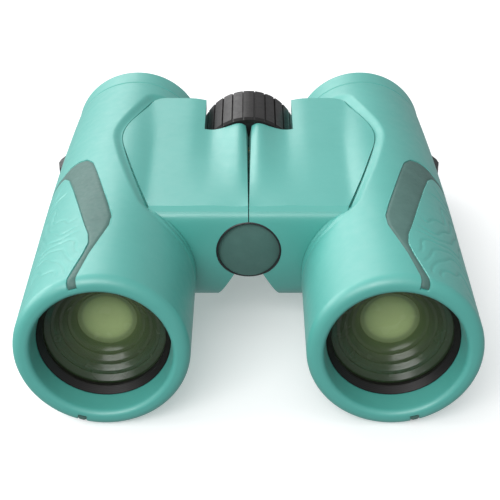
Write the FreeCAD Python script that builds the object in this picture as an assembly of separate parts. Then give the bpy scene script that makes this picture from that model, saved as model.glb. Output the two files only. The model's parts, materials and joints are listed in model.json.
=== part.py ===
import FreeCAD, Part
import math
import os

V = FreeCAD.Vector

# ---------------------------------------------------------------------------
# Compact 7x28 roof-prism binoculars, standing on the undersides of the barrels.
#
# Part frame (mm): +X to the right seen from the objective end, +Y from the
# objective end to the eyepiece end, +Z up.  The origin is at the bottom centre
# of the bounding box.
#
# The model is worked out in "stations": s runs along the barrels from the
# front rim (s = 0) to the eyecups (s = LENGTH), x is measured from the plane of
# symmetry and h is the height above the barrel axes.  save() moves the
# finished pieces into the part frame.
# ---------------------------------------------------------------------------

# Overall layout
LENGTH = 124.4          # front rim to back of the lowered eyecups
AXIS_X = 33.8           # barrel axis from the plane of symmetry
BARREL_R = 20.5         # barrel radius at the front
HINGE_H = 6.5           # hinge axis above the barrel axes

# Armour (soft mint skin of each barrel)
ARMOUR_T = 1.8          # thickness
RIM_ROUND = 2.4         # outer rounding of the front rim
ARMOUR_END = 115.3      # back edge of the skin
TAPER_START = 50.0      # the barrel narrows behind this station
INLAY_T = 0.7           # thickness of the grip inlay

# Housing (stiff inner tube, hinge knuckles in one piece with it)
HOUSING_START = 6.3
HOUSING_END = 115.1
HOUSING_BORE = 16.6
TAIL_BORE = 16.0
KNUCKLE_R = 6.4
AXLE_R = 3.0
RUNNING = 0.05          # radial clearance of turning parts
LEFT_KNUCKLES = [(40.2, 47.0), (54.8, 61.4)]
RIGHT_KNUCKLES = [(47.6, 54.2), (62.0, 68.0)]
WASHERS = [(47.05, 47.55), (54.25, 54.75), (61.45, 61.95)]

# Bridge covers (one wing on each half, meeting over the hinge)
WING_TOP = 18.0
WING_BOTTOM = -9.4
WING_FACE = 36.8        # front face of the bridge
WING_SINK = 0.9         # how far the wing lies below the barrel skin
WING_STEP_H = 15.0      # below this height the wing stops at the barrel skin
WING_BACK = 85.7        # front wall of the focus wheel notch
NOTCH_HALF = 12.4
HALF_GAP = 0.12         # half the parting gap between the two wings
FOLD_SECTOR = 26.5      # free sector under the hinge, each side, degrees

# Focusing drive
WHEEL_R = 14.0
WHEEL_START = 86.2
WHEEL_END = 106.0
WHEEL_GROOVES = 28
SPOOL_HEAD = 73.0
FOCUS_TRAVEL = 4.8
DIAL_R = 10.5

# Optics
LIP_R = 14.4            # free radius of the objective inside its ring
PRISM_START = 58.0
PRISM_HALF = 7.5
CELL_START = 44.0

# Eyecup
CUP_R = 18.9
CUP_START = 115.7
TUBE_R = 12.2           # eyepiece tube

ARM = math.hypot(AXIS_X, HINGE_H)
ARM_TILT = math.degrees(math.atan2(HINGE_H, AXIS_X))


# ---------------------------------------------------------------------------
# Helpers
# ---------------------------------------------------------------------------
def save(name, shape):
    """Write one piece, moved from the working frame into the part frame."""
    out = shape.copy()
    out.translate(V(0, -LENGTH / 2, BARREL_R))
    out.exportStep("parts/" + name + ".step")


def mirrored(shape):
    return shape.mirror(V(0, 0, 0), V(1, 0, 0))


def fused(shapes):
    result = shapes[0]
    if len(shapes) > 1:
        result = result.fuse(shapes[1:])
    return result.removeSplitter()


def turned(points, x=-AXIS_X, h=0.0):
    """Ring or disc from (station, radius) corners, turned about (x, h)."""
    corners = [V(x, s, h + r) for s, r in points]
    face = Part.Face(Part.makePolygon(corners + corners[:1]))
    return face.revolve(V(x, 0, h), V(0, 1, 0), 360)


def rod(r, s0, s1, x=-AXIS_X, h=0.0):
    return Part.makeCylinder(r, s1 - s0, V(x, s0, h), V(0, 1, 0))


def tube(outer, inner, s0, s1, x=-AXIS_X, h=0.0):
    return rod(outer, s0, s1, x, h).cut(rod(inner, s0 - 1, s1 + 1, x, h))


def hinge_rod(r, s0, s1):
    return rod(r, s0, s1, 0, HINGE_H)


def hinge_tube(outer, inner, s0, s1):
    return tube(outer, inner, s0, s1, 0, HINGE_H)


def box(x0, x1, s0, s1, h0, h1):
    return Part.makeBox(x1 - x0, s1 - s0, h1 - h0, V(x0, s0, h0))


def across(points, s0, s1):
    """Solid from an (x, h) outline, running along the barrels."""
    corners = [V(x, s0, h) for x, h in points]
    face = Part.Face(Part.makePolygon(corners + corners[:1]))
    return face.extrude(V(0, s1 - s0, 0))


def arm_box(u0, u1, v0, v1, s0, s1):
    """Box on the line from the left barrel axis (u = 0) to the hinge axis.

    u is measured towards the hinge, v at right angles to it (up).
    """
    block = Part.makeBox(u1 - u0, s1 - s0, v1 - v0, V(u0, s0, v0))
    block.rotate(V(0, 0, 0), V(0, -1, 0), ARM_TILT)
    block.translate(V(-AXIS_X, 0, 0))
    return block


def arm_rod(r, u, s0, s1):
    """Cylinder parallel to the barrel, centred at u on the line to the hinge."""
    a = math.radians(ARM_TILT)
    return rod(r, s0, s1, -AXIS_X + u * math.cos(a), u * math.sin(a))


def barrel_radius(s):
    """Radius of the barrel skin at station s."""
    behind = max(s - TAPER_START, 0.0)
    return BARREL_R - 0.00034 * behind ** 2


def skin_edges(offset, s0, s1):
    """Edges of the barrel profile between two stations, offset inwards."""
    def at(s):
        return V(-AXIS_X, s, barrel_radius(s) - offset)

    edges = []
    if s0 < TAPER_START:
        edges.append(Part.makeLine(at(s0), at(min(s1, TAPER_START))))
    if s1 > TAPER_START:
        start = max(s0, TAPER_START)
        stations = [start + (s1 - start) * i / 5.0 for i in range(6)]
        curve = Part.BSplineCurve()
        curve.interpolate([at(s) for s in stations])
        edges.append(curve.toShape())
    return edges


def barrel_solid(offset, s0, s1):
    """Solid bounded by the barrel skin, moved inwards by the offset."""
    skin = skin_edges(offset, s0, s1)
    first = skin[0].Vertexes[0].Point
    last = skin[-1].Vertexes[-1].Point
    foot0 = V(-AXIS_X, s0, 0)
    foot1 = V(-AXIS_X, s1, 0)
    ends = [Part.makeLine(last, foot1), Part.makeLine(foot1, foot0),
            Part.makeLine(foot0, first)]
    face = Part.Face(Part.Wire(skin + ends))
    return face.revolve(V(-AXIS_X, 0, 0), V(0, 1, 0), 360)


# ---------------------------------------------------------------------------
# Bridge wing: outline seen from above, front profile seen from the side
# ---------------------------------------------------------------------------
def wing_outline():
    """Plan outline of the left wing as a face at h = 0."""
    seam = Part.BSplineCurve()
    seam.interpolate([V(-23.2, 33.0, 0), V(-26.6, 44.6, 0), V(-29.4, 54.0, 0),
                      V(-32.2, 65.0, 0), V(-34.3, 76.5, 0), V(-33.6, 84.0, 0),
                      V(-30.9, 93.0, 0), V(-28.0, 102.5, 0)])
    seam_edge = seam.toShape()
    corner = Part.BezierCurve()
    corner.setPoles([V(-28.0, 102.5, 0), V(-27.0, 105.8, 0), V(-23.5, 105.9, 0)])
    rest = Part.makePolygon([V(-23.5, 105.9, 0), V(-NOTCH_HALF, 105.9, 0),
                             V(-NOTCH_HALF, WING_BACK, 0), V(2, WING_BACK, 0),
                             V(2, 33.0, 0), V(-23.2, 33.0, 0)])
    return Part.Face(Part.Wire([seam_edge, corner.toShape()] + rest.Edges))


def wing_envelope():
    """Everything the left wing may fill before the barrels are taken out."""
    plan = wing_outline()
    plan.translate(V(0, 0, WING_BOTTOM))
    block = plan.extrude(V(0, 0, 22.0 - WING_BOTTOM))
    # Side view: bevelled upper edge, upright face, belly curving back below
    bevel = Part.makePolygon([V(0, 39.4, 23.0), V(0, 39.4, 18.3), V(0, 38.9, 18.1),
                              V(0, 38.4, 17.8), V(0, 37.45, 17.05), V(0, 37.35, 16.85)])
    belly = Part.BSplineCurve()
    belly.interpolate([V(0, 37.35, 16.85), V(0, 36.85, 16.25), V(0, 36.45, 15.2),
                       V(0, 36.2, 13.6), V(0, 36.05, 11.0), V(0, 36.1, 7.5),
                       V(0, 36.4, 3.5), V(0, 37.0, 0.0), V(0, 38.0, -3.5),
                       V(0, 39.5, -6.8), V(0, 42.0, -9.5)])
    rest = Part.makePolygon([V(0, 42.0, -9.5), V(0, 120, -9.5), V(0, 120, 23),
                             V(0, 39.4, 23)])
    wire = Part.Wire(bevel.Edges + [belly.toShape()] + rest.Edges)
    side = Part.Face(wire)
    side.translate(V(-60, 0, 0))
    return block.common(side.extrude(V(70, 0, 0)))


def crown_height(x, s):
    """Height of the wing's upper surface at x (negative) and station s."""
    swell = min(max((s - 44.0) / (WING_BACK - 44.0), 0.0), 1.0)
    d = -x
    height = WING_TOP
    height += 1.1 * swell * math.exp(-((d - 2.6) / 3.0) ** 2)
    height -= 0.9 * swell * math.exp(-((d - 10.4) / 3.6) ** 2)
    height -= 0.75 * swell * math.exp(-(d / 1.25) ** 2)
    # Near the barrel the surface follows the skin, a little below it
    lean = d - AXIS_X
    radius = barrel_radius(s) - WING_SINK
    over = math.sqrt(max(radius ** 2 - lean ** 2, 0.0)) - WING_TOP
    blend = 0.35
    return height + 0.5 * (over + math.hypot(over, blend))


def wing_top():
    """Solid under the crowned upper surface, lofted from cross sections."""
    xs = [-36.5, -34.0, -31.5, -29.5, -27.8, -26.2, -24.0, -21.0, -18.0, -15.5, -13.0,
          -10.5, -8.0, -6.0, -4.2, -2.8, -1.9, -1.2, -0.5, 0.4]
    sections = []
    for s in (30.0, 44.0, 56.0, 70.0, WING_BACK, 97.0, 108.0):
        curve = Part.BSplineCurve()
        curve.interpolate([V(x, s, crown_height(x, s)) for x in xs])
        first = V(xs[0], s, crown_height(xs[0], s))
        last = V(xs[-1], s, crown_height(xs[-1], s))
        rest = Part.makePolygon([last, V(xs[-1], s, -15), V(xs[0], s, -15), first])
        sections.append(Part.Wire([curve.toShape()] + rest.Edges))
    return Part.makeLoft(sections, True, False)


def cheek_fillet():
    """Concave fillet that carries the front face forward onto the barrel."""
    def p(s, r):
        return V(-AXIS_X, s, r)

    foot = 34.3
    reach = 25.2
    r = BARREL_R + 0.05
    hollow = Part.Arc(p(foot, r), p(WING_FACE - 0.95, r + 1.2), p(WING_FACE + 0.3, reach))
    rest = Part.makePolygon([p(WING_FACE + 0.3, reach), p(WING_FACE + 0.3, r - 0.6),
                             p(foot, r - 0.6), p(foot, r)])
    face = Part.Face(Part.Wire([hollow.toShape()] + rest.Edges))
    ring = face.revolve(V(-AXIS_X, 0, 0), V(0, 1, 0), 360)
    slope = Part.makePolygon([V(-34, 30, 8.6), V(-34, 34.2, 14.6), V(-34, 35.3, 16.0),
                              V(-34, 36.3, 16.85), V(-34, 37.35, 17.1), V(-34, 38.4, 17.8),
                              V(-34, 38.4, -8.6),
                              V(-34, 36.0, -8.0), V(-34, 30, -5.0), V(-34, 30, 8.6)])
    band = ring.common(Part.Face(slope).extrude(V(24, 0, 0)))
    return band.cut(barrel_solid(-0.05, 30, 40))


def build_wing(envelope):
    """Left bridge cover: a hollow mint shell over the hinge knuckles."""
    wing = envelope.common(wing_top())
    wing = wing.fuse(cheek_fillet())
    # V groove on the parting line, widest at the wheel
    narrow = Part.makePolygon([V(0, 38.6, 16.4), V(-0.32, 38.6, 20.0),
                               V(0.32, 38.6, 20.0), V(0, 38.6, 16.4)])
    wide = Part.makePolygon([V(0, 90, 13.9), V(-1.35, 90, 20.5),
                             V(1.35, 90, 20.5), V(0, 90, 13.9)])
    wing = wing.cut(Part.makeLoft([narrow, wide], True, True))
    # Room for the barrel: housing above the step, full skin below it
    wing = wing.cut(barrel_solid(ARMOUR_T - 0.05, 30, 110))
    below = box(-60, 10, 20, 120, -30, WING_STEP_H)
    wing = wing.cut(barrel_solid(-0.05, 30, 112).common(below))
    # The ears beside the wheel are shelves, not full height
    wing = wing.cut(box(-60, 10, WING_BACK, 120, -30, 14.4))
    wing = wing.cut(hinge_rod(WHEEL_R + 0.5, WING_BACK - 0.05, 112))
    # Parting plane above the hinge, free sector below it
    t = math.tan(math.radians(FOLD_SECTOR))
    far = 20.0
    wing = wing.cut(across([(0, HINGE_H), (-t * far, HINGE_H - far), (9, HINGE_H - far),
                            (9, 30), (-HALF_GAP, 30), (-HALF_GAP, HINGE_H + 0.24)],
                           20, 120))
    # Hollow inside, bore for knuckles, axle and front cap
    inside = across([(-1.9, 15.6), (-14, 15.6), (-14, -7.4), (-8.9, -7.4), (-2.2, 6.2)],
                    40.6, 84.0)
    wing = wing.cut(inside.cut(barrel_solid(-1.6, 30, 100)))
    wing = wing.cut(hinge_rod(6.9, 40.0, 95))
    wing = wing.cut(hinge_rod(3.2, 30, 45))
    return wing.cut(hinge_rod(8.1, 30, 38.3))


def knuckle_web(span, bore):
    """Hinge knuckle with the web that joins it to the left housing."""
    s0, s1 = span
    web = arm_box(16.0, ARM - 4.0, -3.0, 3.0, s0, s1)
    ring = hinge_rod(KNUCKLE_R, s0, s1)
    return fused([web, ring]).cut(hinge_rod(bore, s0 - 1, s1 + 1))


def web_slot(span, shape):
    """Opening for one web through a skin or cover."""
    s0, s1 = span
    return shape.cut(arm_box(17.0, ARM - 4.0, -3.15, 3.15, s0 - 0.15, s1 + 0.15))


def finger_slot(shape, s1):
    """Opening through which the focusing fingers reach the hinge."""
    return shape.cut(arm_box(15.4, ARM - 6.0, -3.9, 3.9, 68.9, s1))


# ---------------------------------------------------------------------------
# Barrel pieces (left side; the right side is mirrored)
# ---------------------------------------------------------------------------
def build_armour_blank():
    """Soft skin with the rounded front rim and the cone down to the lens."""
    r0 = barrel_radius(RIM_ROUND)
    flat = r0 - RIM_ROUND

    def p(s, r):
        return V(-AXIS_X, s, r)

    bend = RIM_ROUND * (1 - math.sqrt(0.5))
    outer_round = Part.Arc(p(0, flat), p(bend, r0 - bend), p(RIM_ROUND, r0)).toShape()
    skin = skin_edges(0.0, RIM_ROUND, ARMOUR_END - 0.4)
    last = skin[-1].Vertexes[-1].Point
    inner = Part.Arc(p(1.6, 16.35), p(0.42, 16.75), p(0, 17.6)).toShape()
    tail = barrel_radius(ARMOUR_END) - ARMOUR_T
    rest = Part.makePolygon([last, p(ARMOUR_END, last.z - 0.4), p(ARMOUR_END, tail)])
    bed = list(reversed(skin_edges(ARMOUR_T, HOUSING_START - 0.1, ARMOUR_END)))
    bed_first = p(HOUSING_START - 0.1, barrel_radius(HOUSING_START - 0.1) - ARMOUR_T)
    front = Part.makePolygon([bed_first, p(HOUSING_START - 0.1, 15.72), p(1.6, 16.35)])
    lip = Part.makeLine(p(0, 17.6), p(0, flat))
    edges = [outer_round] + skin + rest.Edges + bed + front.Edges + [inner, lip]
    face = Part.Face(Part.Wire(Part.__sortEdges__(edges)))
    return face.revolve(V(-AXIS_X, 0, 0), V(0, 1, 0), 360)


def inlay_cutter():
    """Tool in the outline of the grip inlay, cut radially into the skin."""
    # Edges as (station, degrees outboard from the top of the barrel)
    inboard = [(-1.0, 14.4), (11.7, 7.3), (20.0, 1.2), (25.0, -2.2), (29.5, -2.6),
               (35.2, 1.0), (45.5, 8.4), (55.0, 15.2), (60.8, 19.8), (64.2, 26.0),
               (65.6, 34.0), (65.6, 42.0), (64.0, 53.0)]
    outboard = [(61.4, 53.0), (60.6, 46.0), (57.0, 40.0), (48.1, 32.1), (38.7, 24.8),
                (26.1, 15.5), (20.8, 11.2), (16.6, 9.9), (11.6, 12.2), (-1.0, 19.4)]
    lean = 25.0

    def on_plane(corner):
        s, out = corner
        return V(-20.4 * math.sin(math.radians(out - lean)), s, 8.0)

    edges = []
    for side in (inboard, outboard):
        curve = Part.BSplineCurve()
        curve.interpolate([on_plane(corner) for corner in side])
        edges.append(curve.toShape())
    edges.append(Part.makeLine(on_plane(inboard[-1]), on_plane(outboard[0])))
    edges.append(Part.makeLine(on_plane(outboard[-1]), on_plane(inboard[0])))
    plate = Part.Face(Part.Wire(Part.__sortEdges__(edges))).extrude(V(0, 0, 16))
    plate.rotate(V(0, 0, 0), V(0, -1, 0), lean)
    plate.translate(V(-AXIS_X, 0, 0))
    lower = plate.mirror(V(0, 0, 0), V(0, 0, 1))
    # Narrow strip round the outboard side, joining the upper and lower bands
    reach = 20.4 * math.cos(math.radians(50.0))
    strip = box(-AXIS_X - 26, -AXIS_X - 11, 61.3, 64.1, -reach, reach)
    return fused([plate, lower, strip])


def build_inlay(armour_blank, cutter):
    core = barrel_solid(INLAY_T, HOUSING_START, 80)
    front = turned([(-2, 0), (-2, 17.4), (1.0, 19.0), (4.0, barrel_radius(4) - INLAY_T),
                    (HOUSING_START + 0.1, barrel_radius(6) - INLAY_T),
                    (HOUSING_START + 0.1, 0)])
    return armour_blank.common(cutter).cut(core).cut(front)


def lug_shapes():
    """Strap lug and the pocket that it needs in the skin and the housing."""
    outline = [(-50.6, 87.0), (-52.6, 87.0), (-55.0, 92.2), (-55.4, 94.4), (-55.0, 96.6),
               (-52.6, 102.4), (-50.6, 102.4)]
    corners = [V(x, s, -2.6) for x, s in outline]
    face = Part.Face(Part.makePolygon(corners + corners[:1]))
    body = face.extrude(V(0, 0, 5.2))
    corners = [V(x, s, -4) for x, s in [(-51.7, 89.6), (-53.1, 90.4), (-53.9, 93.2),
                                        (-53.9, 95.8), (-53.1, 99.0), (-51.7, 99.8)]]
    eye = Part.Face(Part.makePolygon(corners + corners[:1])).extrude(V(0, 0, 8))
    lug = body.cut(eye)
    pocket = box(-60, -50.6, 86.9, 102.5, -2.7, 2.7)
    relief = box(-60, -51.7, 90.2, 99.2, -6.0, 6.0)
    return lug, pocket, relief


def build_housing():
    """Stiff tube: lens seat, baffle rib, prism bay and eyepiece tail."""
    blank = barrel_solid(ARMOUR_T + 0.05, HOUSING_START, HOUSING_END)
    blank = blank.cut(rod(15.9, 0, 22))
    blank = blank.cut(rod(HOUSING_BORE, 22, 26))
    blank = blank.cut(rod(12.4, 25, 29))
    blank = blank.cut(rod(HOUSING_BORE, 28, 100))
    blank = blank.cut(rod(TUBE_R, 99, 103))
    return blank.cut(rod(TAIL_BORE, 102.6, 120))


def lens_ball(apex, radius):
    """Ball with its surface through the apex station on the barrel axis.

    A positive radius puts the ball behind the apex, a negative one in front.
    """
    return Part.makeSphere(abs(radius), V(-AXIS_X, apex + radius, 0), V(0, 1, 0))


def build_objective():
    """Cemented doublet: crown in front, flint behind."""
    r = 15.0
    front = lens_ball(7.3, 60.0)
    cement = lens_ball(12.8, -45.0)
    back = lens_ball(15.0, -200.0)
    crown = rod(r, 5, 20).common(front).common(cement)
    flint = rod(r, 5, 20).cut(cement).common(back)
    flint = flint.common(rod(r, 9.6, 20))
    return crown, flint


def build_prisms():
    """Schmidt-Pechan pair: half penta prism and roof prism."""
    a = PRISM_HALF
    s = PRISM_START
    low = -a - 2 * a * math.tan(math.radians(22.5))
    penta_corners = [V(-AXIS_X - a, s, a), V(-AXIS_X - a, s, -a),
                     V(-AXIS_X - a, s + 2 * a, low), V(-AXIS_X - a, s + 2 * a, -a)]
    penta = Part.Face(Part.makePolygon(penta_corners + penta_corners[:1]))
    penta = penta.extrude(V(2 * a, 0, 0))
    gap = 0.5
    m = 22.0
    foot = (s + 2 * a + gap, -a)
    left = (foot[0] - m * math.sqrt(0.5), foot[1] + m * math.sqrt(0.5))
    top = (foot[0], foot[1] + m)
    roof_corners = [V(-AXIS_X - a, q, z) for q, z in (foot, left, top)]
    roof = Part.Face(Part.makePolygon(roof_corners + roof_corners[:1]))
    roof = roof.extrude(V(2 * a, 0, 0))
    # The two roof faces fall away at 45 degrees on each side of the ridge
    wedge = Part.Face(Part.makePolygon([V(0, -30, 0), V(30, -30, -30), V(-30, -30, -30),
                                        V(0, -30, 0)])).extrude(V(0, 60, 0))
    wedge.rotate(V(0, 0, 0), V(1, 0, 0), 22.5)
    wedge.translate(V(-AXIS_X, top[0], top[1]))
    return penta, roof.common(wedge)


def build_cage():
    """Black frame that holds the prism pair in the housing."""
    a = PRISM_HALF
    s = PRISM_START
    front = tube(16.5, 7.0, s - 2.0, s - 0.2)
    back = tube(16.5, 7.0, s + 2 * a + 1.0, s + 2 * a + 2.8)
    cheeks = []
    for x in (-AXIS_X - a - 1.6, -AXIS_X + a + 0.1):
        cheeks.append(box(x, x + 1.5, s - 1.0, s + 2 * a + 1.5, -13.0, 12.0))
    cage = fused([front, back] + cheeks)
    return cage.cut(arm_box(11.3, 20, -3.9, 3.9, 50, 90))


def ring_cell(outer, inner, s0, s1):
    return tube(outer, inner, s0, s1)


def guide_ear(s0, s1):
    """Ear that slides on the guide rod, opposite the hinge."""
    ear = fused([arm_rod(2.3, -14.0, s0, s1), arm_box(-14.0, -11.0, -1.4, 1.4, s0, s1)])
    return ear.cut(arm_rod(1.25, -14.0, s0 - 1, s1 + 1))


def focus_finger(v0, v1, bar0, s0, s1):
    """Bar along the barrel and the finger that drops into a spool groove."""
    bar = arm_box(12.0, 15.2, v0, v1, bar0, s1)
    finger = arm_box(12.0, ARM - 5.2, v0, v1, s0, s1)
    return fused([bar, finger])


def build_left_cell():
    ring = ring_cell(12.4, 9.5, CELL_START, CELL_START + 5)
    finger = focus_finger(0.4, 3.4, CELL_START, 74.0, 76.5)
    ear = guide_ear(CELL_START, CELL_START + 5)
    cell = fused([ring, finger, ear])
    return cell.cut(rod(9.5, 40, 52))


def build_right_carriage():
    ring = ring_cell(13.6, 12.0, CELL_START - 2, CELL_START + 8)
    finger = focus_finger(0.4, 3.4, CELL_START - 2, 74.0, 76.5)
    ear = guide_ear(CELL_START - 2, CELL_START + 8)
    carriage = fused([ring, finger, ear]).cut(rod(12.0, 30, 60))
    carriage = carriage.cut(arm_rod(1.25, -14.0, 30, 60))
    window = arm_box(10.0, 17.0, -3.7, -0.1, CELL_START - 1.3, CELL_START + 6.3)
    return carriage.cut(window)


def build_right_cell():
    ring = ring_cell(11.95, 9.5, CELL_START, CELL_START + 5)
    link = arm_box(10.5, 13.0, -3.4, -0.4, CELL_START, CELL_START + 5)
    bar = arm_box(13.9, 15.2, -3.4, -0.4, CELL_START, 82.5)
    bridge = arm_box(12.0, 15.2, -3.4, -0.4, CELL_START, CELL_START + 5)
    finger = arm_box(13.9, ARM - 5.7, -3.4, -0.4, 80.1, 82.5)
    return fused([ring, link, bridge, bar, finger]).cut(rod(9.5, 40, 52))


def build_focus_lens():
    lens = rod(9.45, CELL_START + 0.4, CELL_START + 4.6)
    return lens.cut(lens_ball(CELL_START + 1.6, -38.0)).cut(lens_ball(CELL_START + 3.6, 52.0))


def build_field_lens():
    lens = rod(9.0, 100, 110)
    return lens.common(lens_ball(101.0, 30.0)).common(lens_ball(106.0, -40.0))


def build_eye_lens():
    lens = rod(10.0, 110, 122)
    return lens.common(lens_ball(111.5, 34.0)).common(lens_ball(117.4, -30.0))


def build_eyepiece_tube():
    """Fixed tube with seats for the field lens and the eye lens."""
    return turned([(97.5, TUBE_R), (97.5, 9.05), (106.6, 9.05), (106.6, 8.2),
                   (108.0, 8.2), (112.6, 9.2), (112.6, 10.05), (116.2, 10.05),
                   (116.2, 9.4), (117.2, 9.4), (119.3, 10.9), (119.3, 11.6),
                   (118.2, 12.7), (117.4, 12.7), (117.4, TUBE_R)])


def key_blocks(r0, r1, half, s0, s1):
    """Three keys at 120 degrees round the eyepiece axis."""
    keys = []
    for i in range(3):
        key = Part.makeBox(2 * half, s1 - s0, r1 - r0, V(-half, s0, r0))
        key.rotate(V(0, 0, 0), V(0, 1, 0), 120 * i)
        key.translate(V(-AXIS_X, 0, 0))
        keys.append(key)
    return keys


def build_guide_ring():
    ring = tube(13.7, TUBE_R + RUNNING, 104.2, 117.2)
    keys = key_blocks(13.0, 14.9, 2.0, 104.2, 117.2)
    return fused([ring] + keys).cut(rod(TUBE_R + RUNNING, 100, 120))


def build_cup_sleeve():
    """Black sleeve of the eyecup, running in the tail of the housing."""
    body = turned([(104.0, 15.9), (104.0, 14.0), (120.4, 14.0), (120.4, 12.9),
                   (122.0, 12.9), (122.0, 15.9)])
    for slot in key_blocks(13.5, 15.05, 2.15, 100, 119.0):
        body = body.cut(slot)
    return body


def build_cup_rubber():
    """Mint rim of the eyecup with a cone down to the eye lens."""
    def p(s, r):
        return V(-AXIS_X, s, r)

    outer = Part.makePolygon([p(CUP_START, 15.95), p(CUP_START, CUP_R - 0.5),
                              p(CUP_START + 0.5, CUP_R), p(LENGTH - 1.2, CUP_R)])
    k = 1.2 * (1 - math.sqrt(0.5))
    shoulder = Part.Arc(p(LENGTH - 1.2, CUP_R), p(LENGTH - k, CUP_R - k),
                        p(LENGTH, CUP_R - 1.2)).toShape()
    inner = Part.makePolygon([p(LENGTH, CUP_R - 1.2), p(LENGTH, 15.4),
                              p(LENGTH - 0.6, 14.6), p(122.05, 13.0),
                              p(122.05, 15.95), p(CUP_START, 15.95)])
    face = Part.Face(Part.Wire(outer.Edges + [shoulder] + inner.Edges))
    return face.revolve(V(-AXIS_X, 0, 0), V(0, 1, 0), 360)


# ---------------------------------------------------------------------------
# Hinge and focusing drive
# ---------------------------------------------------------------------------
def build_hinge_cap():
    """Domed cap that closes the front of the hinge."""
    dome = Part.makeSphere(32.0, V(0, 36.3 + 32.0, HINGE_H))
    disc = hinge_rod(7.8, 35.0, 38.15).common(dome)
    plug = hinge_rod(1.88, 38.0, 44.0)
    return fused([disc, plug])


def build_wheel_core():
    body = hinge_rod(12.3, WHEEL_START, WHEEL_END)
    body = body.cut(hinge_rod(5.0, WHEEL_START - 1, 101.0))
    body = body.cut(hinge_rod(AXLE_R + RUNNING, 100, WHEEL_END + 1))
    dish = hinge_tube(10.6, 6.8, WHEEL_END - 2.2, WHEEL_END + 1)
    return body.cut(dish)


def build_wheel_grip():
    """Ribbed rubber band of the focus wheel."""
    band = turned([(WHEEL_START, 12.3), (WHEEL_START, 13.4), (WHEEL_START + 0.6, WHEEL_R),
                   (WHEEL_END - 0.6, WHEEL_R), (WHEEL_END, 13.4), (WHEEL_END, 12.3)],
                  0, HINGE_H)
    grooves = []
    for i in range(WHEEL_GROOVES):
        groove = Part.makeBox(0.5, 30, 2.0, V(-0.25, WHEEL_START - 2, 13.45))
        groove.rotate(V(0, 0, 0), V(0, 1, 0), 360.0 * (i + 0.5) / WHEEL_GROOVES)
        groove.translate(V(0, 0, HINGE_H))
        grooves.append(groove)
    return band.cut(Part.makeCompound(grooves))


def build_spool():
    """Spool on the axle: one groove for the fingers, thread in the wheel."""
    head = SPOOL_HEAD
    return turned([(head, AXLE_R + RUNNING), (head, 6.4), (head + 0.9, 6.4),
                   (head + 0.9, 4.9), (head + 3.6, 4.9), (head + 3.6, 6.4),
                   (head + 4.5, 6.4), (head + 4.5, 4.9), (99.0, 4.9),
                   (99.0, AXLE_R + RUNNING)], 0, HINGE_H)


def build_diopter_spool():
    return turned([(79.0, 4.95), (79.0, 6.4), (80.0, 6.4), (80.0, 5.5), (82.6, 5.5),
                   (82.6, 6.4), (83.6, 6.4), (83.6, 4.95)], 0, HINGE_H)


def build_dial():
    """Diopter dial behind the focus wheel, with a finger tab."""
    disc = turned([(106.5, AXLE_R + RUNNING), (106.5, DIAL_R), (109.9, DIAL_R),
                   (110.6, DIAL_R - 0.7), (110.6, AXLE_R + RUNNING)], 0, HINGE_H)
    tab = box(-1.6, 1.6, 106.8, 110.2, HINGE_H + DIAL_R - 1.0, HINGE_H + DIAL_R + 1.4)
    nicks = []
    for i in range(24):
        if i == 0:
            continue
        nick = Part.makeCylinder(0.55, 6, V(0, 105.5, DIAL_R + 0.1), V(0, 1, 0))
        nick.rotate(V(0, 0, 0), V(0, 1, 0), 15.0 * i)
        nick.translate(V(0, 0, HINGE_H))
        nicks.append(nick)
    return fused([disc, tab]).cut(Part.makeCompound(nicks))


def build_end_nut():
    """Cap nut that keeps the dial and the wheel on the axle."""
    nut = turned([(110.75, 5.6), (110.75, 0), (114.0, 0), (114.0, 4.6), (113.0, 5.6)],
                 0, HINGE_H)
    nut = nut.cut(hinge_rod(AXLE_R, 110, 112.5))
    for angle in (0, 180):
        notch = box(-0.8, 0.8, 112.9, 115, HINGE_H + 3.4, HINGE_H + 7)
        notch.rotate(V(0, 0, HINGE_H), V(0, 1, 0), angle)
        nut = nut.cut(notch)
    return nut


# ---------------------------------------------------------------------------
# Build everything
# ---------------------------------------------------------------------------
def save_pair(name, shape):
    save("left_" + name, shape)
    save("right_" + name, mirrored(shape))


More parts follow.
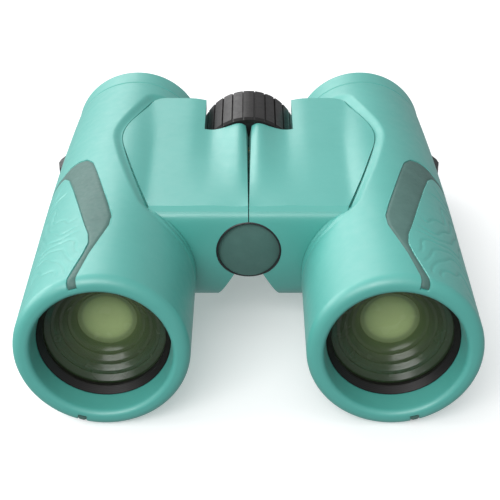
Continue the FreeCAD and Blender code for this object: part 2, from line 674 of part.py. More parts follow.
def main():
    os.makedirs("parts", exist_ok=True)

    envelope = wing_envelope()
    wing_blank = build_wing(envelope)
    armour_blank = build_armour_blank()
    cutter = inlay_cutter()
    lug, pocket, relief = lug_shapes()
    above = box(-60, 10, 20, 120, WING_STEP_H, 30)
    armour = armour_blank.cut(envelope.common(above))
    inlay = build_inlay(armour_blank, cutter)
    armour = armour.cut(inlay).cut(pocket).cut(relief)
    housing_blank = build_housing().cut(pocket).cut(relief)

    sides = (("left_", LEFT_KNUCKLES, AXLE_R, 77.2), ("right_", RIGHT_KNUCKLES,
             AXLE_R + RUNNING, 84.0))
    for side, knuckles, bore, finger_end in sides:
        webs = [knuckle_web(span, bore) for span in knuckles]
        tubes = finger_slot(housing_blank, finger_end)
        room = rod(HOUSING_BORE, 28, 99)
        housing = fused([tubes] + [web.cut(room) for web in webs])
        skin = finger_slot(armour, finger_end)
        wing = finger_slot(wing_blank, finger_end)
        for span in knuckles:
            skin = web_slot(span, skin)
            wing = web_slot(span, wing)
        pieces = {"housing": housing, "barrel_armour": skin, "bridge_cover": wing}
        for name, shape in pieces.items():
            save(side + name, shape if side == "left_" else mirrored(shape))

    save_pair("grip_inlay", inlay)
    save_pair("strap_lug", lug)

    crown, flint = build_objective()
    save_pair("objective_crown", crown)
    save_pair("objective_flint", flint)
    save_pair("objective_cell", turned([(8.97, 15.85), (8.97, 15.05), (14.7, 15.05),
                                        (14.7, 13.8), (17.0, 13.8), (17.0, 15.85)]))
    save_pair("lens_ring", turned([(6.05, 15.6), (6.25, 15.6), (7.9, LIP_R),
                                   (8.93, LIP_R), (8.93, 15.6)]))
    penta, roof = build_prisms()
    save_pair("penta_prism", penta)
    save_pair("roof_prism", roof)
    cage = build_cage()
    guide = arm_rod(1.2, -14.0, 26.0, PRISM_START - 0.2)
    save_pair("prism_cage", cage.cut(guide))
    save_pair("guide_rod", guide.cut(build_housing()))
    save_pair("eyepiece_tube", build_eyepiece_tube())
    save_pair("field_lens", build_field_lens())
    save_pair("eye_lens", build_eye_lens())
    save_pair("eyecup_guide_ring", build_guide_ring())
    save_pair("eyecup_sleeve", build_cup_sleeve())
    save_pair("eyecup_rim", build_cup_rubber())
    save_pair("focus_lens", build_focus_lens())

    save("left_focus_cell", build_left_cell())
    save("right_focus_carriage", mirrored(build_right_carriage()))
    save("right_focus_cell", mirrored(build_right_cell()))

    save("hinge_axle", hinge_tube(AXLE_R, 1.9, 38.3, 112.5))
    save("hinge_cap", build_hinge_cap())
    washers = [hinge_tube(6.2, AXLE_R + RUNNING, s0, s1) for s0, s1 in WASHERS]
    save("hinge_washers", Part.makeCompound(washers))
    save("focus_wheel_core", build_wheel_core())
    save("focus_wheel_grip", build_wheel_grip())
    save("focus_spool", build_spool())
    save("diopter_spool", build_diopter_spool())
    save("diopter_dial", build_dial())
    save("axle_nut", build_end_nut())


main()
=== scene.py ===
import bpy
import json
import math
import numpy as np
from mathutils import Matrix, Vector


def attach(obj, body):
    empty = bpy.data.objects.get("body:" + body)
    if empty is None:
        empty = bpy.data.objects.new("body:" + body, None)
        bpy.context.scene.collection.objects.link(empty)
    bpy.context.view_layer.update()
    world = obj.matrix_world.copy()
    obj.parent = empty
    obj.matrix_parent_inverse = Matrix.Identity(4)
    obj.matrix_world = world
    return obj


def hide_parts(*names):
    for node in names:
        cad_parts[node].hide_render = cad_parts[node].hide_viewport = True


# Compact binoculars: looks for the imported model.  All positions are worked out
# in millimetres as stations along the barrels and turned into metres at the end.

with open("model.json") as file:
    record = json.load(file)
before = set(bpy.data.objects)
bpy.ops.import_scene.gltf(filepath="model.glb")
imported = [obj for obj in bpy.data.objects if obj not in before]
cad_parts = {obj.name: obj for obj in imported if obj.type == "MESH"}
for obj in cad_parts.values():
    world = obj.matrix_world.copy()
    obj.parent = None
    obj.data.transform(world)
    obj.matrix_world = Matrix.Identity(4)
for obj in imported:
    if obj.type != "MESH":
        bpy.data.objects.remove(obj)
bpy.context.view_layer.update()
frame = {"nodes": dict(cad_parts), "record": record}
nodes = frame["nodes"]

MM = 0.001
AXIS_X = 33.8       # barrel axis from the plane of symmetry
AXIS_Z = 20.5       # barrel axis above the floor
FRONT_Y = -62.2     # station 0, the front rim
BARREL_R = 20.5
RIM_ROUND = 2.4
ARMOUR_END = 115.3
SKIN = 1.78         # thickness of the barrel skin
GAP = 0.34          # width of the dark line round the bridge cover
WING_BACK = 85.7    # station where the bridge cover leaves the barrel underneath
BAND_END = -1.33    # unrolled station where the inlay's narrow band ends on the rim
INLAY_BED = -0.7    # floor of the recess that the inlay lies in
INLAY_CLEAR = 0.14  # gap between the inlay and the edge of its recess
CAP_H = 6.5         # hinge cap centre above the barrel axes
TINY = 1e-6


# ---------------------------------------------------------------------------
# Materials
# ---------------------------------------------------------------------------
class Shader:
    """A small helper round one Principled material."""

    def __init__(self, name):
        self.mat = bpy.data.materials.new(name)
        self.mat.use_nodes = True
        self.tree = self.mat.node_tree
        self.tree.nodes.clear()
        self.out = self.add("ShaderNodeOutputMaterial")
        self.bsdf = self.add("ShaderNodeBsdfPrincipled")
        self.link(self.bsdf.outputs[0], self.out.inputs[0])
        self.coord = self.add("ShaderNodeTexCoord").outputs["Object"]

    def add(self, kind, **values):
        node = self.tree.nodes.new(kind)
        for key, value in values.items():
            setattr(node, key, value)
        return node

    def link(self, a, b):
        self.tree.links.new(a, b)

    def set(self, **values):
        for key, value in values.items():
            self.bsdf.inputs[key.replace("_", " ")].default_value = value

    def noise(self, scale, detail=3.0, rough=0.5, vector=None):
        node = self.add("ShaderNodeTexNoise")
        node.inputs["Scale"].default_value = scale
        node.inputs["Detail"].default_value = detail
        node.inputs["Roughness"].default_value = rough
        self.link(vector or self.coord, node.inputs["Vector"])
        return node.outputs["Fac"]

    def ramp(self, value, stops):
        node = self.add("ShaderNodeValToRGB")
        ramp = node.color_ramp
        while len(ramp.elements) < len(stops):
            ramp.elements.new(0.5)
        for element, (pos, colour) in zip(ramp.elements, stops):
            element.position = pos
            element.color = (*colour, 1.0)
        self.link(value, node.inputs["Fac"])
        return node.outputs["Color"]

    def spread(self, value, low, high):
        node = self.add("ShaderNodeMapRange")
        node.inputs["From Min"].default_value = 0.3
        node.inputs["From Max"].default_value = 0.7
        node.inputs["To Min"].default_value = low
        node.inputs["To Max"].default_value = high
        self.link(value, node.inputs["Value"])
        return node.outputs["Result"]

    def bump(self, height, strength, distance):
        node = self.add("ShaderNodeBump")
        node.inputs["Strength"].default_value = strength
        node.inputs["Distance"].default_value = distance
        self.link(height, node.inputs["Height"])
        if self.bsdf.inputs["Normal"].links:
            self.link(self.bsdf.inputs["Normal"].links[0].from_socket, node.inputs["Normal"])
        self.link(node.outputs["Normal"], self.bsdf.inputs["Normal"])


def blotchy(shader, dark, light, scale, rough_low, rough_high, rough_scale):
    """Slight colour and roughness variation, as moulded parts have."""
    tint = shader.noise(scale, 4.0, 0.6)
    shader.link(shader.ramp(tint, [(0.3, dark), (0.7, light)]), shader.bsdf.inputs["Base Color"])
    sheen = shader.noise(rough_scale, 3.0, 0.5)
    shader.link(shader.spread(sheen, rough_low, rough_high), shader.bsdf.inputs["Roughness"])


def mint(name, rough_low, rough_high, grain):
    s = Shader(name)
    blotchy(s, (0.068, 0.372, 0.322), (0.078, 0.396, 0.344), 60, rough_low, rough_high, 420)
    s.set(Specular_IOR_Level=1.0, Sheen_Weight=0.08, Sheen_Roughness=0.35)
    s.bsdf.inputs["Sheen Tint"].default_value = (0.9, 1.0, 1.0, 1)
    s.bump(s.noise(5200, 2.0), grain, 0.00004)
    return s.mat


def rubber(name, dark, light, rough_low, rough_high, scale, strength, gloss=0.45):
    s = Shader(name)
    blotchy(s, dark, light, 180, rough_low, rough_high, 900)
    s.set(Specular_IOR_Level=gloss)
    s.bump(s.noise(scale, 2.0), strength, 0.00006)
    return s.mat


def turned(name, dark, light, rough, metallic):
    """Metal turned about the Y axis: fine rings in the colour and the bump."""
    s = Shader(name)
    wave = s.add("ShaderNodeTexWave", wave_type="BANDS", bands_direction="Y")
    wave.inputs["Scale"].default_value = 900
    wave.inputs["Distortion"].default_value = 1.5
    s.link(s.coord, wave.inputs["Vector"])
    s.link(s.ramp(wave.outputs["Fac"], [(0.2, dark), (0.8, light)]), s.bsdf.inputs["Base Color"])
    s.link(s.spread(s.noise(1500, 3.0), rough, rough + 0.12), s.bsdf.inputs["Roughness"])
    s.set(Metallic=metallic)
    s.bump(wave.outputs["Fac"], 0.15, 0.00002)
    return s.mat


def glass(name, dark, light, alpha, transmission):
    s = Shader(name)
    tint = s.noise(90, 2.0)
    s.link(s.ramp(tint, [(0.3, dark), (0.7, light)]), s.bsdf.inputs["Base Color"])
    s.link(s.spread(s.noise(300, 2.0), 0.02, 0.06), s.bsdf.inputs["Roughness"])
    s.set(IOR=1.52, Transmission_Weight=transmission, Alpha=alpha, Specular_IOR_Level=0.8)
    return s.mat


def inner_optics_painted_reflection():
    """Inner elements with a green coating: dark outer rings, and a bright green deepest face
    that is painted reflection of the coated lenses.
    """
    s = Shader("inner_optics_green_painted_reflection")
    split = s.add("ShaderNodeSeparateXYZ")
    s.link(s.coord, split.inputs[0])
    depth = s.add("ShaderNodeMapRange")
    depth.inputs["From Min"].default_value = (FRONT_Y + 9.4) * MM
    depth.inputs["From Max"].default_value = (FRONT_Y + 16.8) * MM
    s.link(split.outputs["Y"], depth.inputs["Value"])
    # painted reflection: the colour ramps from dark outer rings up to bright green at the
    # deepest face, standing in for reflections off the coated lenses
    painted_reflection_tone = s.ramp(depth.outputs["Result"], [
        (0.0, (0.026, 0.044, 0.026)), (0.45, (0.052, 0.080, 0.034)),
        (0.80, (0.105, 0.155, 0.055)), (0.88, (0.48, 0.62, 0.27)), (1.0, (0.76, 0.95, 0.42))])
    s.link(painted_reflection_tone, s.bsdf.inputs["Base Color"])
    s.link(s.spread(s.noise(200, 2.0), 0.16, 0.3), s.bsdf.inputs["Roughness"])
    s.set(Specular_IOR_Level=0.6)
    return s.mat


MATERIALS = {
    "mint_armour": mint("mint_armour_skin", 0.40, 0.50, 0.16),
    "mint_plastic": mint("mint_cover_plastic", 0.34, 0.42, 0.10),
    "grip_rubber": rubber("grip_rubber_grey", (0.058, 0.135, 0.118), (0.074, 0.162, 0.142),
                          0.46, 0.60, 3000, 0.35),
    "black_plastic": rubber("black_plastic_moulded", (0.010, 0.010, 0.011),
                            (0.020, 0.020, 0.022), 0.32, 0.46, 2600, 0.25),
    "frame_plastic": rubber("frame_plastic_dark", (0.030, 0.031, 0.034),
                            (0.048, 0.050, 0.053), 0.5, 0.62, 1800, 0.4),
    "black_metal": turned("black_anodised_metal", (0.010, 0.009, 0.009),
                          (0.022, 0.019, 0.019), 0.30, 0.35),
    "optical_glass": glass("optical_glass_clear", (0.70, 0.84, 0.76), (0.80, 0.92, 0.84),
                           0.5, 0.6),
    "coated_glass": glass("coated_glass_green", (0.050, 0.085, 0.028), (0.065, 0.10, 0.036),
                          0.16, 0.0),
    "steel": turned("ground_steel", (0.50, 0.50, 0.52), (0.64, 0.64, 0.66), 0.22, 1.0),
    "brass": turned("turned_brass", (0.60, 0.44, 0.19), (0.74, 0.57, 0.27), 0.22, 1.0),
    "wheel_rubber": rubber("wheel_rubber_black", (0.012, 0.011, 0.011),
                           (0.024, 0.022, 0.022), 0.30, 0.42, 2200, 0.2, 0.22),
    "nylon": rubber("nylon_natural", (0.72, 0.70, 0.64), (0.82, 0.80, 0.74),
                    0.4, 0.5, 1500, 0.2),
}

for part in frame["record"]["subparts"]:
    obj = nodes[part["node"]]
    finish = MATERIALS[part["material_slot"]]
    if not obj.material_slots:
        obj.data.materials.append(finish)
    for place in obj.material_slots:
        place.material = finish


# ---------------------------------------------------------------------------
# Outlines on the unrolled barrel: (arc length outboard from the top, station)
# ---------------------------------------------------------------------------
def skin_radius(s):
    return BARREL_R - 0.00034 * np.maximum(s - 50.0, 0.0) ** 2


def smooth(x):
    x = np.clip(x, 0.0, 1.0)
    return x * x * (3 - 2 * x)


def resampled(points, step, soft):
    """A closed outline at even steps with its corners softened."""
    p = np.array(points, float)
    q = np.vstack([p, p[:1]])
    length = np.concatenate([[0], np.cumsum(np.hypot(*np.diff(q, axis=0).T))])
    n = int(length[-1] / step)
    at = np.linspace(0, length[-1], n, endpoint=False)
    even = np.column_stack([np.interp(at, length, q[:, k]) for k in (0, 1)])
    reach = int(3 * soft / step) + 1
    weight = np.exp(-0.5 * (np.arange(-reach, reach + 1) * step / soft) ** 2)
    weight /= weight.sum()
    out = np.zeros_like(even)
    for k, w in zip(range(-reach, reach + 1), weight):
        out += w * np.roll(even, k, axis=0)
    return out


def catmull(points, steps):
    p = np.array(points, float)
    p = np.vstack([2 * p[0] - p[1], p, 2 * p[-1] - p[-2]])
    out = []
    for a, b, c, d in zip(p, p[1:], p[2:], p[3:]):
        for t in np.linspace(0, 1, steps, endpoint=False):
            out.append(0.5 * (2 * b + (c - a) * t + (2 * a - 5 * b + 4 * c - d) * t * t
                              + (3 * b - a - 3 * c + d) * t ** 3))
    out.append(p[-2])
    return np.array(out)


def arc(degrees):
    return BARREL_R * np.radians(degrees)


def cover_outline():
    """Edge of the bridge cover where it meets the barrel skin."""
    top = catmull([(-24.8, 39.2), (-26.6, 44.6), (-29.4, 54), (-32.2, 65), (-34.3, 76.5),
                   (-33.6, 84), (-30.9, 93), (-28, 102.5)], 6)
    edge = [(x, s) for x, s in top] + [(-27.6, 104.2), (-26.6, 105.3), (-25.2, 105.8),
                                       (-23.5, 105.9)]
    rows = []
    for x, s in edge:
        lean = -(x + AXIS_X) / skin_radius(np.array(s))
        rows.append((BARREL_R * math.asin(lean), s))
    rows += [(arc(-43.3), 105.9), (arc(-43.3), WING_BACK), (arc(-118.5), WING_BACK),
             (arc(-118.5), 36.2), (arc(-116.5), 34.7)]
    rows += [(arc(a), s) for a, s in ((-110, 34.25), (-95, 34.15), (-80, 34.15), (-65, 34.15),
                                      (-54, 34.2), (-48, 34.25), (-44.4, 34.5),
                                      (-39.5, 35.4), (-34.8, 36.4), (-30.6, 37.8))]
    return resampled(rows, 0.7, 0.5)


# half outlines of the inlay: (station, degrees outboard from the top)
INBOARD = [(BAND_END, 13.3), (0.6, 13.3), (11.7, 7.3), (20, 1.2), (25, -2.2), (29.5, -2.6),
           (35.2, 1), (45.5, 8.4), (55, 15.2), (60.8, 19.8), (64.2, 26), (65.6, 34), (65.6, 42),
           (64.1, 53)]
OUTBOARD = [(61.4, 53), (60.6, 46), (57, 40), (48.1, 32.1), (38.7, 24.8), (26.1, 15.5),
            (20.8, 11.2), (16.6, 9.9), (11.6, 12.2), (0.6, 20.0), (BAND_END, 20.6)]


def below(points):
    return [(s, 180 - a) for s, a in points]


def inlay_outline():
    ring = INBOARD + below(INBOARD)[::-1] + below(OUTBOARD)[::-1] + OUTBOARD
    return resampled([(arc(a), s) for s, a in ring], 0.4, 0.24)


def panel_outline():
    ring = OUTBOARD[:-2] + [(3.4, 17.2)] + below(OUTBOARD[:-2] + [(3.4, 17.2)])[::-1]
    return resampled([(arc(a), s) for s, a in ring], 0.8, 0.5)


def signed_distance(u, t, outline):
    """Distance to a closed outline, negative inside."""
    q = np.column_stack([np.ravel(u), np.ravel(t)])
    a, b = outline, np.roll(outline, -1, axis=0)
    ab = b - a
    dist = np.empty(len(q))
    inside = np.zeros(len(q), bool)
    for lo in range(0, len(q), 20000):
        p = q[lo:lo + 20000, None, :]
        ap = p - a[None]
        k = np.clip((ap * ab).sum(2) / (ab * ab).sum(1), 0, 1)
        gap = ap - k[..., None] * ab
        dist[lo:lo + 20000] = np.sqrt((gap * gap).sum(2).min(1))
        up = (a[:, 1] > p[..., 1]) != (b[:, 1] > p[..., 1])
        rise = np.where(ab[:, 1] == 0, 1e-12, ab[:, 1])
        cross = a[:, 0] + (p[..., 1] - a[:, 1]) / rise * ab[:, 0]
        inside[lo:lo + 20000] = (up & (p[..., 0] < cross)).sum(1) % 2 == 1
    return np.where(inside, -dist, dist).reshape(np.shape(u))


def snapped(u, t, field, locked):
    """Moves grid points onto the zero line of a field; returns which ones."""
    d = field(u, t)
    on = np.zeros(d.shape, bool)
    rows, cols = d.shape
    for di, dj in ((0, 1), (1, 0)):
        for i in range(rows - di):
            js = np.arange(cols - dj)
            swap = np.nonzero(d[i, js] * d[i + di, js + dj] < 0)[0]
            for j in swap:
                a, b = (i, j), (i + di, j + dj)
                if on[a] or on[b]:
                    continue
                if abs(d[b]) < abs(d[a]):
                    a, b = b, a
                if locked[a]:
                    continue
                k = abs(d[a]) / (abs(d[a]) + abs(d[b]))
                u[a] += k * (u[b] - u[a])
                t[a] += k * (t[b] - t[a])
                d[a] = 0.0
                on[a] = True
    return d, on


def spacing(breaks):
    """Grid lines from (start, end, step) pieces."""
    out = []
    for lo, hi, step in breaks:
        out.append(np.linspace(lo, hi, max(2, round((hi - lo) / step) + 1))[:-1])
    return np.concatenate(out + [[breaks[-1][1]]])


COARSE = 1


def fresh_grid():
    us = spacing([(arc(-160), arc(-8), 0.55 * COARSE), (arc(-8), arc(188), 0.36 * COARSE),
                  (arc(188), arc(200), 0.55 * COARSE)])
    ts = spacing([(-RIM_ROUND * math.pi / 2 + RIM_ROUND, 2.4, 0.42 * COARSE),
                  (2.4, 66, 0.36 * COARSE), (66, 114.6, 0.55 * COARSE),
                  (114.6, ARMOUR_END, 0.18)])
    u, t = np.meshgrid(us, ts)
    return u, t


def placed(u, t, lift):
    """Unrolled position and lift off the skin to part coordinates (left barrel)."""
    bend = np.clip((RIM_ROUND - t) / RIM_ROUND, 0.0, math.pi / 2)
    front = t < RIM_ROUND
    s = np.where(front, RIM_ROUND - RIM_ROUND * np.sin(bend), t)
    r = np.where(front, BARREL_R - RIM_ROUND + RIM_ROUND * np.cos(bend), skin_radius(t))
    s = s - lift * np.sin(bend) * front
    r = r + lift * np.cos(bend)
    phi = u / BARREL_R
    return np.stack([-AXIS_X - r * np.sin(phi), FRONT_Y + s, AXIS_Z + r * np.cos(phi)], -1)


def contour_lines(u, t, panel):
    """Fine engraved wavy lines on the grip panel."""
    a, b = u / 9.0, t / 11.0
    f = (1.5 * b - 0.9 * a + 0.55 * np.sin(1.3 * a + 1.9 * b + 0.6)
         + 0.42 * np.sin(2.6 * a - 1.4 * b + 2.0) + 0.20 * np.sin(5.1 * b + 1.7 * a)
         + 0.10 * np.sin(7.3 * a + 2.1 * b + 0.4)) * 1.25
    slope_u = np.gradient(f, axis=1) / np.maximum(np.gradient(u, axis=1), 1e-6)
    slope_t = np.gradient(f, axis=0) / np.maximum(np.gradient(t, axis=0), 1e-6)
    slope = np.maximum(np.hypot(slope_u, slope_t), 0.06)
    off = np.abs(f - np.round(f)) / slope
    cut = np.exp(-(off / 0.30) ** 2)
    fade = smooth((-panel - 0.6) / 2.0) * smooth((60 - t) / 6.0)
    return -0.20 * cut * fade


def mesh_object(name, verts, faces, material, body, stands_for, sharp=38):
    mesh = bpy.data.meshes.new(name)
    mesh.from_pydata(verts.tolist(), [], faces)
    mesh.validate()
    mesh.polygons.foreach_set("use_smooth", [True] * len(mesh.polygons))
    mesh.set_sharp_from_angle(angle=math.radians(sharp))
    mesh.materials.append(material)
    obj = bpy.data.objects.new(name, mesh)
    bpy.context.scene.collection.objects.link(obj)
    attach(obj, body)
    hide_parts(*stands_for)
    return obj


def split_faces(d, on, wrap_at, keep=None):
    """Faces of the grid, cut along the snapped line where a cell crosses it."""
    rows, cols = d.shape
    side = np.where(on, 0, np.sign(d)).astype(int)

    def index(i, j):
        return i * wrap_at + (j % wrap_at)

    faces = []
    for i in range(rows - 1):
        for j in range(cols - 1):
            quad = [(i, j), (i, j + 1), (i + 1, j + 1), (i + 1, j)]
            signs = [side[q] for q in quad]
            ids = [index(*q) for q in quad]
            parts = [(0, 1, 2, 3)]
            if min(signs) < 0 < max(signs):
                if signs[0] == 0 and signs[2] == 0:
                    parts = [(0, 1, 2), (0, 2, 3)]
                elif signs[1] == 0 and signs[3] == 0:
                    parts = [(0, 1, 3), (1, 2, 3)]
            for part in parts:
                if keep is not None and all(signs[k] == 0 for k in part):
                    continue
                if keep is not None and any(signs[k] * keep < 0 for k in part):
                    continue
                faces.append([ids[k] for k in part])
    return faces


# ---------------------------------------------------------------------------
# Barrel skins and grip inlays
# ---------------------------------------------------------------------------
COVER = cover_outline()
INLAY = inlay_outline()
PANEL = panel_outline()


def build_skin():
    """Vertices and faces of the left barrel skin."""
    u, t = fresh_grid()
    cols = u.shape[1] - 1
    edge = np.zeros(u.shape, bool)
    edge[0], edge[-1], edge[:, 0], edge[:, -1] = True, True, True, True
    _, on_cover = snapped(u, t, lambda a, b: signed_distance(a, b, COVER) - GAP, edge)
    _, on_inlay = snapped(u, t, lambda a, b: signed_distance(a, b, INLAY),
                          edge | on_cover)
    d_cover = signed_distance(u, t, COVER) - GAP
    d_inlay = signed_distance(u, t, INLAY)
    panel = signed_distance(u, t, PANEL)
    phi = np.degrees(u / BARREL_R)

    # sloped shoulder beside the top edge, low rolled lip down the front junction
    top = smooth((t - 34.9) / 2.6) * (phi > -60) * smooth((phi + 46) / 5)
    outside = np.maximum(d_cover, 0)
    shoulder = -1.0 * (1 - smooth(outside / 2.7)) * top
    front = (1 - top) * (t < 40) * smooth((phi + 124) / 12) * (phi < 0)
    lip = 0.16 * np.exp(-((outside - 0.75) / 0.45) ** 2)
    hollow = -0.10 * np.exp(-((outside - 2.1) / 0.8) ** 2)
    lift = shoulder + front * (lip + hollow) * (d_cover >= -TINY)
    under = (d_cover < -TINY) & ~on_cover
    shelf = (phi > -43.6) & (t > 38.8)
    bed = np.where(shelf, -1.7, -0.45 * smooth((d_cover + 1.9) / 0.8) * (t < 40))
    lift = np.where(under, bed, lift)

    # recess for the inlay, engraved panel, pocket behind the strap lug
    lift = np.where((d_inlay < -TINY) & ~on_inlay, INLAY_BED, lift)
    near = np.where(d_inlay >= 0, np.exp(-(d_inlay / 0.35) ** 2), 0) * (panel > 0.3)
    lift = lift - 0.05 * near
    lift = lift + np.where(panel < 0, contour_lines(u, t, panel), 0)
    side = phi - 90
    flat = 17.95 / np.cos(np.radians(np.clip(side, -60, 60))) - skin_radius(t)
    pocket = smooth((9.2 - abs(t - 94.7) * 2) / 1.0 + 0.4) * smooth(
        (6.3 - abs(np.sin(np.radians(side)) * 19.8)) / 0.7) * (abs(side) < 40)
    lift = lift + np.minimum(flat, 0) * pocket
    # softened back edge
    back = np.clip((t - (ARMOUR_END - 0.6)) / 0.6, 0, 1)
    lift = lift - 0.6 * (1 - np.sqrt(1 - back ** 2 * 0.999))

    grid = placed(u, t, lift)[:, :cols]
    d = np.where(abs(d_cover) < abs(d_inlay), d_cover, d_inlay)
    on = on_cover | on_inlay
    faces = split_faces(d, on, cols)

    # close the skin: inner surface, front lip and cone
    ring_phi = u[0, :cols] / BARREL_R
    profile = [(ARMOUR_END, skin_radius(ARMOUR_END) - SKIN)]
    profile += [(s, skin_radius(s) - SKIN) for s in (100.0, 80.0, 65.0, 50.0)]
    profile += [(6.25, BARREL_R - SKIN), (6.25, 15.72)]
    profile += [(s, 16.35 - 0.63 * (s - 1.6) / 4.6) for s in (5.0, 3.4, 2.2)]
    lip_arc = np.radians(np.linspace(8, 84, 6))
    profile += [(1.6 - 1.6 * math.sin(a), 17.6 - 1.25 * math.cos(a)) for a in lip_arc]
    profile += [(0.0, 17.65)]
    rings = [np.stack([-AXIS_X - r * np.sin(ring_phi), np.full(cols, FRONT_Y + s),
                       AXIS_Z + r * np.cos(ring_phi)], -1) for s, r in profile]
    rows = grid.shape[0]
    verts = np.concatenate([grid.reshape(-1, 3)] + rings)
    order = [rows - 1] + [rows + k for k in range(len(rings))] + [0]
    for a, b in zip(order, order[1:]):
        for j in range(cols):
            k = (j + 1) % cols
            faces.append([a * cols + j, a * cols + k, b * cols + k, b * cols + j])
    return verts * MM, faces


def build_inlay():
    """Vertices and faces of the left grip inlay, a thin closed plate."""
    u, t = fresh_grid()
    edge = np.zeros(u.shape, bool)
    edge[0], edge[-1], edge[:, 0], edge[:, -1] = True, True, True, True
    d, on = snapped(u, t, lambda a, b: signed_distance(a, b, INLAY) + INLAY_CLEAR, edge)
    d = np.where(on, 0, d)
    cols = u.shape[1]
    faces = split_faces(d, on, cols + 1, keep=-1)
    u2 = np.pad(u, ((0, 0), (0, 1)), mode="edge")
    t2 = np.pad(t, ((0, 0), (0, 1)), mode="edge")
    depth = np.where(on, 0, -signed_distance(u, t, INLAY) - INLAY_CLEAR)
    depth = np.pad(depth, ((0, 0), (0, 1)), mode="edge")
    crown = -0.05 - 0.22 * (1 - smooth(depth / 0.55))
    top = placed(u2, t2, crown).reshape(-1, 3)
    base = placed(u2, t2, np.full(u2.shape, INLAY_BED + 0.02)).reshape(-1, 3)
    used = sorted({v for f in faces for v in f})
    new = {v: k for k, v in enumerate(used)}
    n = len(used)
    tops = [[new[v] for v in f] for f in faces]
    edges = dict.fromkeys((a, b) for f in tops for a, b in zip(f, f[1:] + f[:1]))
    rim = [(a, b) for a, b in edges if (b, a) not in edges]
    out = tops + [[v + n for v in f[::-1]] for f in tops]
    out += [[b, a, a + n, b + n] for a, b in rim]
    verts = np.concatenate([top[used], base[used]])
    return verts * MM, out


def mirrored(verts, faces):
    flipped = verts.copy()
    flipped[:, 0] *= -1
    return flipped, [f[::-1] for f in faces]


skin = build_skin()
inlay = build_inlay()
for side in ("left", "right"):
    v, f = skin if side == "left" else mirrored(*skin)
    mesh_object(f"{side}_barrel_skin", v, f, MATERIALS["mint_armour"],
                f"{side}_half", [f"{side}_barrel_armour"])
    v, f = inlay if side == "left" else mirrored(*inlay)
    mesh_object(f"{side}_grip_plate", v, f, MATERIALS["grip_rubber"],
                f"{side}_half", [f"{side}_grip_inlay"])


# ---------------------------------------------------------------------------
# Inner optics seen through the coated front lens
# ---------------------------------------------------------------------------
def lathe(name, centre_x, profile, count, material, body, stands_for, sharp=30):
    """Closed piece turned about a barrel axis from (station, radius) points."""
    verts, faces = [], []
    for s, r in profile:
        for k in range(count):
            a = 2 * math.pi * k / count
            verts.append((centre_x + r * math.sin(a), FRONT_Y + s, AXIS_Z + r * math.cos(a)))
    n = len(profile)
    for i in range(n - 1):
        for k in range(count):
            m = (k + 1) % count
            faces.append([i * count + k, i * count + m, (i + 1) * count + m,
                          (i + 1) * count + k])
    faces.append([k for k in range(count)][::-1])
    faces.append([(n - 1) * count + k for k in range(count)])
    return mesh_object(name, np.array(verts) * MM, faces, material, body, stands_for,
                       sharp)


def face_station(h):
    """Station of the front face of the bridge covers at a height above the barrel axes."""
    return np.interp(h, [-3.5, 0, 3.5, 7.5, 11, 13.6, 15.2, 16.25],
                     [38, 37, 36.4, 36.1, 36.05, 36.2, 36.45, 36.85])


def build_cap_shade_ring():
    """Narrow ring of black plastic that closes the gap between the hinge cap and the covers:
    painted shade standing in for the shadow in that gap.
    """
    count, section = 96, [(7.72, 0.9), (7.72, -0.10), (7.95, -0.16), (8.18, -0.05), (8.18, 0.9)]
    verts, faces = [], []
    for r, back in section:
        for k in range(count):
            a = 2 * math.pi * k / count
            h = CAP_H + r * math.cos(a)
            verts.append((r * math.sin(a), FRONT_Y + face_station(h) + back, AXIS_Z + h))
    n = len(section)
    for i in range(n):
        for k in range(count):
            m = (k + 1) % count
            j = (i + 1) % n
            faces.append([i * count + k, i * count + m, j * count + m, j * count + k])
    # black ring in the cap gap: painted shade
    mesh_object("cap_gap_painted_shade_ring", np.array(verts) * MM, faces, MATERIALS["black_plastic"],
                "left_half", [])


build_cap_shade_ring()

# inner optics material whose bright green deepest face is painted reflection
INNER_PAINTED_REFLECTION = inner_optics_painted_reflection()
for side, sign in (("left", -1), ("right", 1)):
    bowl = [(20.0, 0.3), (20.0, 14.8), (9.75, 14.8), (9.75, 14.3), (10.6, 13.0), (10.9, 12.9),
            (11.0, 12.2), (12.0, 11.1), (12.4, 11.0), (12.5, 10.4), (13.5, 9.3), (13.9, 9.2),
            (14.0, 8.5), (15.0, 7.3), (15.5, 7.1), (15.6, 6.3), (16.3, 5.0), (16.7, 3.3),
            (16.8, 1.8), (16.8, 0.3)]
    lathe(f"{side}_inner_optics", sign * AXIS_X, bowl, 96, INNER_PAINTED_REFLECTION,
          f"{side}_half", [f"{side}_objective_flint"])


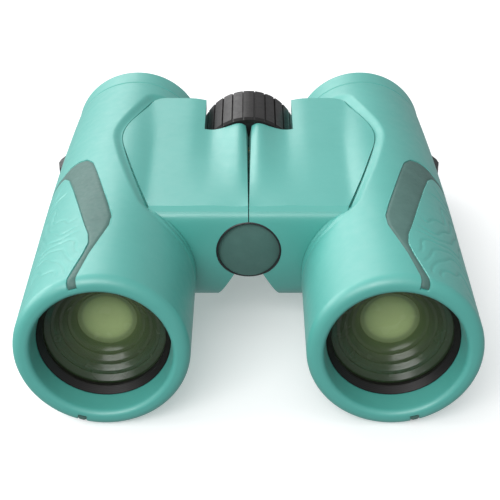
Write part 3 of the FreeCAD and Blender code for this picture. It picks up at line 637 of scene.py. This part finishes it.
# ---------------------------------------------------------------------------
# Floor, light and camera
# ---------------------------------------------------------------------------
floor_mesh = bpy.data.meshes.new("floor")
floor_mesh.from_pydata([(-3, -3, 0), (3, -3, 0), (3, 3, 0), (-3, 3, 0)], [], [(0, 1, 2, 3)])
floor = bpy.data.objects.new("floor", floor_mesh)
bpy.context.scene.collection.objects.link(floor)
paper = Shader("floor_paper")
paper.link(paper.ramp(paper.noise(3.0, 2.0), [(0.3, (0.80, 0.80, 0.80)),
                                              (0.7, (0.82, 0.82, 0.82))]),
           paper.bsdf.inputs["Base Color"])
paper.set(Roughness=0.9, Specular_IOR_Level=0.1, Emission_Color=(1, 1, 1, 1),
          Emission_Strength=0.30)
floor_mesh.materials.append(paper.mat)

scene = bpy.context.scene
scene.view_settings.view_transform = "Standard"
world = bpy.data.worlds.new("studio")
scene.world = world
world.use_nodes = True
sky = world.node_tree
direction = sky.nodes.new("ShaderNodeTexCoord")
height = sky.nodes.new("ShaderNodeSeparateXYZ")
fade = sky.nodes.new("ShaderNodeMapRange")
fade.inputs["From Min"].default_value = -0.05
fade.inputs["From Max"].default_value = 0.9
fade.inputs["To Min"].default_value = 0.40
fade.inputs["To Max"].default_value = 0.50
sky.links.new(direction.outputs["Generated"], height.inputs[0])
sky.links.new(height.outputs["Z"], fade.inputs["Value"])
sky.links.new(fade.outputs["Result"], sky.nodes["Background"].inputs["Strength"])
sky.nodes["Background"].inputs["Color"].default_value = (0.96, 0.98, 1.0, 1)
# the floor throws no bounced light, so the undersides stay dark
floor.visible_diffuse = False
floor.visible_glossy = False


def softbox(name, place, target, width, height, power):
    light = bpy.data.lights.new(name, "AREA")
    light.shape = "RECTANGLE"
    light.size, light.size_y = width, height
    light.energy = power
    obj = bpy.data.objects.new(name, light)
    scene.collection.objects.link(obj)
    obj.location = place
    aim = Vector(target) - Vector(place)
    obj.rotation_euler = aim.to_track_quat("-Z", "Y").to_euler()


softbox("overhead", (-0.45, -0.1, 1.2), (0, 0, 0), 1.6, 2.0, 5.0)
softbox("back_left", (-0.75, 1.15, 0.80), (0, 0, 0.02), 1.5, 1.0, 11.5)
softbox("left", (-1.25, 0.25, 0.45), (0, 0, 0.02), 1.3, 0.6, 9.5)
softbox("front_top", (-0.35, -0.85, 0.75), (0, 0, 0.02), 0.8, 0.6, 8.5)

camera = bpy.data.cameras.new("camera")
camera.lens = 91.886
camera.sensor_width = 36.0
eye = bpy.data.objects.new("camera", camera)
scene.collection.objects.link(eye)
eye.location = (0.00034, -0.30273, 0.18761)
eye.rotation_euler = (math.pi / 2 - 0.525, 0, 0)
camera.clip_start = 0.01
camera.clip_end = 20
scene.camera = eye
